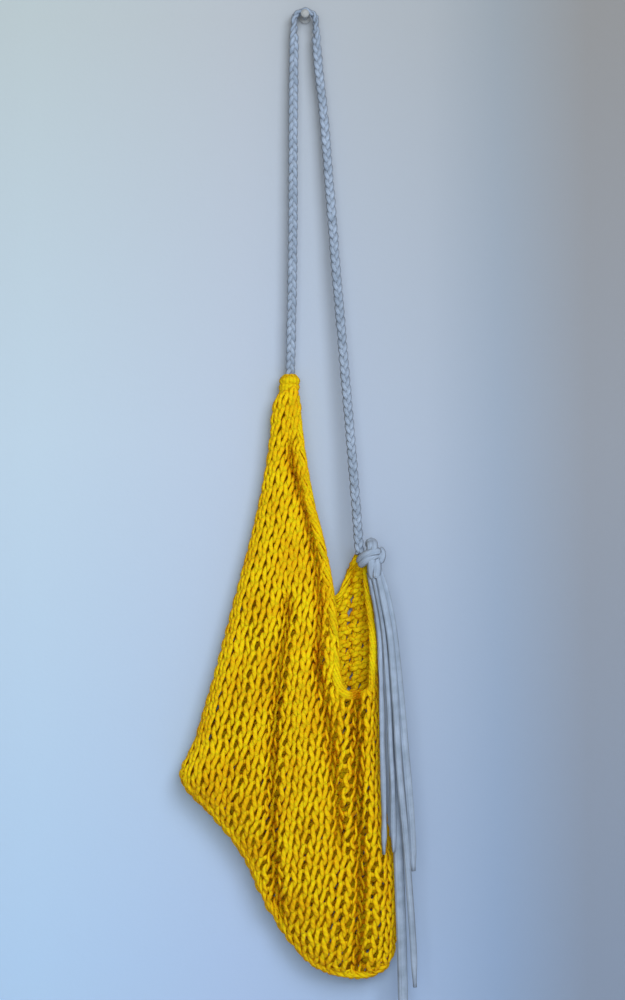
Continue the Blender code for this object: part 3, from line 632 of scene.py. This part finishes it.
def cotton_yarn():
    """Thick soft cotton: two plies that twist round each other, short fluff, dye that took unevenly, and a
    red-brown painted shade on the yarn's sides that turn away from view.
    """
    made, tree, shader, add = new_material("cotton_yarn")
    uv = add("ShaderNodeUVMap", uv_map="yarn")
    apart = add("ShaderNodeSeparateXYZ")
    lay = add("ShaderNodeMath", operation="MULTIPLY")
    lay.inputs[1].default_value = math.tau / PLY_LENGTH
    round_it = add("ShaderNodeMath", operation="MULTIPLY_ADD")
    round_it.inputs[1].default_value = math.tau * 2
    ply = add("ShaderNodeMath", operation="SINE")
    spot = add("ShaderNodeTexCoord")
    fluff = add("ShaderNodeTexNoise", Scale=900.0, Detail=4.0)
    height = add("ShaderNodeMath", operation="MULTIPLY_ADD")
    height.inputs[1].default_value = 0.7
    bump = add("ShaderNodeBump", Strength=0.7, Distance=0.0005)
    dye = add("ShaderNodeTexNoise", Scale=38.0, Detail=6.0)
    ramp = add("ShaderNodeValToRGB")
    set_tones(ramp, [(0.32, YARN_DARK), (0.66, YARN_PALE)])
    tree.links.new(uv.outputs[0], apart.inputs[0])
    tree.links.new(apart.outputs["X"], lay.inputs[0])
    tree.links.new(apart.outputs["Y"], round_it.inputs[0])
    tree.links.new(lay.outputs[0], round_it.inputs[2])
    tree.links.new(round_it.outputs[0], ply.inputs[0])
    tree.links.new(spot.outputs["Object"], fluff.inputs["Vector"])
    tree.links.new(ply.outputs[0], height.inputs[0])
    tree.links.new(fluff.outputs["Fac"], height.inputs[2])
    tree.links.new(height.outputs[0], bump.inputs["Height"])
    tree.links.new(bump.outputs[0], shader.inputs["Normal"])
    tree.links.new(spot.outputs["Object"], dye.inputs["Vector"])
    # Painted shade: the yarn's sides that turn away from view are mixed toward a deep red-brown.
    turned = add("ShaderNodeLayerWeight", Blend=0.42)
    yarn_edge_shade = add("ShaderNodeMix", data_type="RGBA")
    yarn_edge_shade.inputs["B"].default_value = YARN_PAINTED_SHADE
    tree.links.new(dye.outputs["Fac"], ramp.inputs[0])
    tree.links.new(turned.outputs["Facing"], yarn_edge_shade.inputs[0])
    tree.links.new(ramp.outputs[0], yarn_edge_shade.inputs["A"])
    tree.links.new(yarn_edge_shade.outputs["Result"], shader.inputs["Base Color"])
    shader.inputs["Roughness"].default_value = 0.82
    shader.inputs["Specular IOR Level"].default_value = 0.08
    shader.inputs["Subsurface Weight"].default_value = 0.35
    shader.inputs["Subsurface Radius"].default_value = (1.0, 0.4, 0.04)
    shader.inputs["Subsurface Scale"].default_value = 0.006
    return made


def loop_path(count, pitch=WALE):
    """A yarn's way through that many stitches: across in wales, down in courses, and its depth."""
    t = np.linspace(-math.pi, math.tau * count - math.pi, count * STITCH_STEPS + 1)
    across = t / math.tau + (LOOP_LEAN * np.sin(2 * t) - LOOP_CLOSE * np.sin(t)) / pitch
    across = across - LOOP_UPRIGHT * LOOP_RISE * np.cos(t) / pitch
    down = -LOOP_RISE / COURSE * np.cos(t)
    return across, down, -LOOP_DEPTH * np.cos(2 * t)


def knit(lay, kept, wales, courses, seed, hand=1, thick=1.0, flat=1.0, pitch=WALE):
    """The yarns of some knitting: a tube for each unbroken run of stitches in a course. "lay" says where the
    cloth is at each count of wales and courses, and "kept" which stitches there are."""
    slide, sag, swell = uneven(seed), uneven(seed + 1), uneven(seed + 2)
    paths = []
    for row, course in zip(kept, courses):
        edges = np.flatnonzero(np.diff(np.concatenate([[0], row.astype(int), [0]])))
        for first, last in zip(edges[::2], edges[1::2]):
            across, down, rise = loop_path(last - first, pitch)
            paths.append(np.column_stack([wales[first] + across, course + down, rise]))
    every = np.vstack(paths)
    wale = every[:, 0] + UNEVEN_ACROSS * slide(every[:, 0], every[:, 1])
    down = every[:, 1] + UNEVEN_DOWN * sag(every[:, 0], every[:, 1])
    step = 0.04
    spot = lay(wale, down)
    outward = unit(np.cross(lay(wale + step, down) - spot, lay(wale, down + step) - spot)) * hand
    line = spot + outward * every[:, 2:3]
    size = thick * (1 + YARN_SWELL * swell(2.1 * every[:, 0], 1.7 * every[:, 1]))
    tubes, start = [], 0
    for path in paths:
        part = slice(start, start + len(path))
        wide, deep = YARN_WIDE * size[part], YARN_DEEP * flat * size[part]
        tubes.append(tube_rings(line[part], outward[part], wide, deep, YARN_SIDES))
        start += len(path)
    return tubes


def face_of_bag(face, pitch=WALE):
    """Where one face of the bag's cloth lies at each count of wales and courses."""
    return lambda wale, course: lay_cloth(flat_from_stitch(wale, course, pitch), face)[0]


def stitches_of_face(face, wales, courses, pitch=WALE):
    """Which stitches one face of the bag has: inside the rolled rim and the edge, below neck and tip."""
    wale, course = [part.ravel() for part in np.meshgrid(wales, courses)]
    flat = flat_from_stitch(wale, course, pitch)
    _, to_rim, spare = lay_cloth(flat, face)
    below = (flat[:, 1] > NECK_TOP) & ((flat[:, 0] < RIGHT_ARM_ACROSS) | (flat[:, 1] > TIP_TOP))
    rolled = ease((flat[:, 1] - ROLL_START_DROP) / ROLL_START_RUN)
    inside = (to_rim > BAND_IN[face] * (BAND_LEAST + (1 - BAND_LEAST) * rolled)) & (spare > EDGE_MARGIN)
    return (below & inside).reshape(len(courses), len(wales))


yellow_yarn = cotton_yarn()
NECK_TOP, TIP_TOP = 404.0, 572.0
# How far inside the rim the stitches start, in front (1) and behind (-1), and its least share at the neck.
BAND_IN = {1: 7.0, -1: 1.0}
BAND_LEAST, EDGE_MARGIN = 0.3, 1.0
WALES, COURSES = list(range(-4, 30)), list(range(-8, 52))
# The back's stitches are narrower and its yarn lies flatter.
BACK_WALE, BACK_WALES = 10.6, list(range(-5, 36))


def hang_knitting(name, tubes, replaced=()):
    """The mesh of some knitting; the model's parts that it replaces are hidden."""
    piece = mesh_of_tubes(name, tubes, yellow_yarn)
    if replaced:
        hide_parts(*replaced)
    return piece


front_kept = stitches_of_face(1, WALES, COURSES)
back_kept = stitches_of_face(-1, BACK_WALES, COURSES, BACK_WALE)
front = hang_knitting("knitted_front", knit(face_of_bag(1), front_kept, WALES, COURSES, 11), ["knit_body"])
back = hang_knitting("knitted_back", knit(face_of_bag(-1, BACK_WALE), back_kept, BACK_WALES, COURSES, 31,
                                          hand=-1, thick=1.12, flat=0.6, pitch=BACK_WALE))

# The rolled rim of the mouth: the same knitting rolled over by itself, so tight that only its yarns' long
# slanting runs show along the roll. The bottom edge is closed with a chain of the same yarn.

ROLL_INSET, ROLL_WIDE, ROLL_DEEP = 4.8, 3.7, 2.9
ROLL_YARNS, ROLL_PITCH = 6, 62.0
CHAIN_INSET, CHAIN_WIDE, CHAIN_DEEP = 3.2, 2.4, 2.2
CHAIN_YARNS, CHAIN_PITCH = 3, 26.0
BACK_ROLL_INSET, BACK_ROLL_WIDE, BACK_ROLL_DEEP = 3.0, 2.6, 2.2
BACK_ROLL_YARNS, BACK_ROLL_PITCH, BACK_ROLL_SHARE = 4, 48.0, 0.85
EDGE_YARN_WIDE, EDGE_YARN_DEEP = 4.7, 3.1
STRAY_STEP, STRAY_SIZE = 17, 0.35
TIP_RIM_ACROSS, TIP_RIM_GAIN, TIP_RIM_RUN = 58, 0.3, 90
# Along the back rim from its neck end, and along the outer edge from its left corner.
BACK_ROLL_START = 150
CHAIN_START, CHAIN_END = -6, 330


def rolled_edge(line, hand, face, inset, wide, deep, yarns, pitch, share, seed):
    """Yarns that wind along an edge as a slack roll, from a line in plan, how far in and the roll's size."""
    along = lengths_along(line)
    tangent = unit(np.gradient(line, axis=0))
    inward = hand * np.column_stack([tangent[:, 1], -tangent[:, 0]])
    middle = lay_cloth(line + inward * inset * share[:, None], face, rolled_over=False)[0]
    rng = np.random.default_rng(seed)
    stray_at = np.arange(0, along[-1] + 40, STRAY_STEP)
    tubes = []
    for n in range(yarns):
        stray = rng.normal(0, STRAY_SIZE, int(along[-1] / STRAY_STEP) + 4)
        stray = np.interp(along, stray_at, stray[: len(stray_at)])
        swell = 1 + 0.08 * np.sin(along / 7.0 + 2.1 * n) + 0.05 * stray
        turn = -math.tau * (along / pitch + n / yarns) + stray
        radial = np.column_stack([-inward * np.cos(turn)[:, None], face * np.sin(turn)])
        sideways = -inward * (wide * share * np.cos(turn))[:, None]
        reach = np.column_stack([sideways, face * deep * share * np.sin(turn)])
        fine = even_steps(np.column_stack([middle + reach, radial, swell * (0.5 + 0.5 * share)]), 2.2)
        size = fine[:, 6]
        yarn_wide, yarn_deep = EDGE_YARN_WIDE * size, EDGE_YARN_DEEP * size
        tubes.append(tube_rings(fine[:, :3], unit(fine[:, 3:6]), yarn_wide, yarn_deep, YARN_SIDES))
    return tubes


def from_to(line, start, end):
    """The part of a line between two distances along it."""
    along = lengths_along(line)
    return line[(along >= start) & (along <= end)]


rim_share = ROLL_LEAST + (1 - ROLL_LEAST) * ease((front_rim[:, 1] - ROLL_START_DROP) / ROLL_START_RUN)
at_tip = ease((front_rim[:, 1] - ROLL_FADE_DROP) / TIP_RIM_RUN)
rim_share = np.where(front_rim[:, 0] > TIP_RIM_ACROSS, ROLL_LEAST + TIP_RIM_GAIN * at_tip, rim_share)
rim_tubes = rolled_edge(front_rim, -1, 1, ROLL_INSET, ROLL_WIDE, ROLL_DEEP, ROLL_YARNS, ROLL_PITCH,
                        rim_share, 51)
back_part = from_to(back_rim, BACK_ROLL_START, math.inf)
rim_tubes += rolled_edge(back_part, -1, -1, BACK_ROLL_INSET, BACK_ROLL_WIDE, BACK_ROLL_DEEP, BACK_ROLL_YARNS,
                         BACK_ROLL_PITCH, np.full(len(back_part), BACK_ROLL_SHARE), 61)
rim = hang_knitting("rolled_rim", rim_tubes)
corner = lengths_along(keel)[np.argmin(keel[:, 0])]
bottom = from_to(keel, corner + CHAIN_START, corner + CHAIN_END)
chain_tubes = rolled_edge(bottom, 1, 1, CHAIN_INSET, CHAIN_WIDE, CHAIN_DEEP, CHAIN_YARNS, CHAIN_PITCH,
                          np.ones(len(bottom)), 64)
chain = hang_knitting("bottom_chain", chain_tubes)

# The neck's sleeve: the end of the same knitting, folded over the strap's end and sewn down round it.

SLEEVE_TOP, SLEEVE_FOOT, SLEEVE_MIDDLE_OFF = 381.0, 416.0, 15.0
SLEEVE_TOP_ACROSS, SLEEVE_FOOT_ACROSS = -15.8, -18.6
# level (0 at its top, 1 at its foot), outer width, outer depth
SLEEVE_SIZES = np.array([(-0.1, 14.0, 10.0), (0, 17.0, 12.3), (0.12, 19.6, 14.4), (0.45, 20.0, 14.6),
                         (0.62, 18.8, 14), (1, 25.0, 19), (1.3, 25.0, 19)])
SLEEVE_WALES, SLEEVE_COURSES, SLEEVE_COURSE = 7, 5, 7.0
SLEEVE_FIRST_COURSE = 5.0
SLEEVE_THICK, SLEEVE_FLAT = 1.2, 0.75


def lay_sleeve(wale, course):
    """Round the sleeve, from the wall side, and down it."""
    level = (course * SLEEVE_COURSE + SLEEVE_FIRST_COURSE) / (SLEEVE_FOOT - SLEEVE_TOP)
    angle = -math.pi / 2 - math.tau * wale / SLEEVE_WALES
    wide = np.interp(level, SLEEVE_SIZES[:, 0], SLEEVE_SIZES[:, 1]) / 2 - YARN_DEEP / 2
    deep = np.interp(level, SLEEVE_SIZES[:, 0], SLEEVE_SIZES[:, 2]) / 2 - YARN_DEEP / 2
    middle = SLEEVE_TOP_ACROSS + level * (SLEEVE_FOOT_ACROSS - SLEEVE_TOP_ACROSS)
    drop = SLEEVE_TOP + np.clip(level, 0.0, 2) * (SLEEVE_FOOT - SLEEVE_TOP)
    return np.column_stack([middle + wide * np.cos(angle), drop, SLEEVE_MIDDLE_OFF + deep * np.sin(angle)])


sleeve_kept = np.ones((SLEEVE_COURSES, SLEEVE_WALES), bool)
sleeve_tubes = knit(lay_sleeve, sleeve_kept, list(range(SLEEVE_WALES)), list(range(SLEEVE_COURSES)), 71,
                    hand=1, thick=SLEEVE_THICK, flat=SLEEVE_FLAT)
sleeve = hang_knitting("neck_sleeve", sleeve_tubes)

# The knot: the plait's end passed twice round the bag's right tip and through itself, in soft crushed turns
# of jersey that show its three strips side by side.

# radius, [(across, drop, off), ...]
KNOT_TURNS = [
    (6.4, [(58.2, 579, 31.2), (62.5, 573.5, 36.5), (70, 568.5, 40.0), (78, 566, 39)]),
    (5.6, [(68.3, 561, 31.0), (69.3, 557.5, 35), (70.4, 560, 39), (70.6, 569, 41)]),
    (4.8, [(77, 563, 38), (79.5, 569, 38.5), (78.5, 577, 37.5)]),
    (7.0, [(70, 568, 37), (72, 578, 37), (74, 593, 37)]),
]
# Shares of a turn's radius: its size at the ends, how far apart its three strips lie, and their own size.
KNOT_END_SIZE, KNOT_STRIP_APART = 0.62, 0.45
KNOT_STRIP_WIDE, KNOT_STRIP_DEEP = 1.4, 1.2
KNOT_TWIST, KNOT_START = 0.9, 0.5
knot_tubes = []
for size, path in KNOT_TURNS:
    line = even_steps(smooth(path, 8), 1.0)
    _, side, face = ways_along(line)
    share = np.linspace(-1, 1, len(line))
    swell = size * (KNOT_END_SIZE + (1 - KNOT_END_SIZE) * np.sqrt(np.maximum(0, 1 - share**4)))
    for strip in range(3):
        turn = math.tau * strip / 3 + KNOT_TWIST * share + KNOT_START
        shift = KNOT_STRIP_APART * swell
        strip_line = line + (side * np.cos(turn)[:, None] + face * np.sin(turn)[:, None]) * shift[:, None]
        knot_tubes.append(tube_rings(strip_line, face, KNOT_STRIP_WIDE * swell, KNOT_STRIP_DEEP * swell, 12))
knot = mesh_of_tubes("strap_turns", knot_tubes, grey_jersey)
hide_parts("strap_knot")

# The strap's loose ends: five strips of cut jersey that hang from the knot. Their long edges curl back, as
# cut jersey does, more so near the tips, and they turn a little on the way down.

STRIP_THICKNESS = 1.7
STRIP_CURL, CURL_SWING = 1.5, 0.5
# Shares of a strip: its width at the root and over how much of it, where it narrows and where it curls more.
STRIP_ROOT, ROOT_PART = 0.72, 12
NARROW_FROM, NARROW_BY = 0.93, 0.45
CURL_FROM, CURL_MORE = 0.9, 0.8
STRIP_BACK = 0.93
# name, width, turn, [(across, drop, off), ...]
STRIPS = [
    ("front_right", 9.0, 0.25, [(76, 580, 36), (85, 612, 39), (92, 650, 41), (99, 715, 42), (104, 772, 43),
                                (109, 830, 43), (113, 899, 43)]),
    ("long", 10.5, 0.2, [(72, 582, 32), (79, 612, 34), (87, 655, 36), (92, 715, 37), (95, 800, 38),
                         (98, 890, 39), (101, 970, 39), (103, 1061, 39)]),
    ("right", 7.0, 0.35, [(75, 584, 40), (82, 616, 44), (89, 655, 46), (94, 720, 47), (99, 800, 48),
                          (106, 880, 48), (112, 960, 48), (114.5, 1019, 48)]),
    ("middle", 6.0, 0.5, [(70, 586, 37), (77, 616, 40), (83, 655, 42), (87, 712, 43), (89.5, 765, 44),
                          (91.5, 830, 44), (92.5, 879, 44)]),
    ("left", 6.0, 1.1, [(67, 588, 33), (73, 618, 36), (78, 660, 39), (80, 702, 42), (81, 765, 44),
                        (82, 830, 46), (82.5, 881, 46)]),
]


def strip_rings(width, turn, path, seed):
    """Rings of a strip of cut jersey: seven points across its face and seven across its back."""
    line = even_steps(smooth(path, 8), 6.0)
    _, side, face = ways_along(line)
    rng = np.random.default_rng(seed)
    at = np.linspace(0, 1, len(line))
    knots = np.linspace(0, 1, 9)
    angle = (turn * np.interp(at, knots, rng.uniform(-1, 1, 9)))[:, None]
    wide_way = side * np.cos(angle) + face * np.sin(angle)
    deep_way = face * np.cos(angle) - side * np.sin(angle)
    curl = 1 + CURL_SWING * np.interp(at, knots, rng.uniform(-1, 1, 9))
    curl = STRIP_CURL * (curl + CURL_MORE * ease((at - CURL_FROM) / (1 - CURL_FROM)))
    across = np.linspace(-1, 1, 7)
    half_wide = width / 2 * (STRIP_ROOT + (1 - STRIP_ROOT) * ease(at * ROOT_PART))
    half_wide = half_wide * (1 - NARROW_BY * ease((at - NARROW_FROM) / (1 - NARROW_FROM)))
    rings = []
    for k in range(len(line)):
        front_edge = [(a * half_wide[k], -curl[k] * a**2 + STRIP_THICKNESS / 2) for a in across]
        back_edge = [(STRIP_BACK * a * half_wide[k], -curl[k] * a**2 - STRIP_THICKNESS / 2)
                     for a in across[::-1]]
        edge = front_edge + back_edge
        rings.append([line[k] + wide_way[k] * a + deep_way[k] * (b + curl[k] / 2) for a, b in edge])
    return np.array(rings)


ends = [strip_rings(width, turn, path, 90 + n) for n, (_, width, turn, path) in enumerate(STRIPS)]
loose_ends = mesh_of_tubes("loose_ends", ends, grey_jersey)
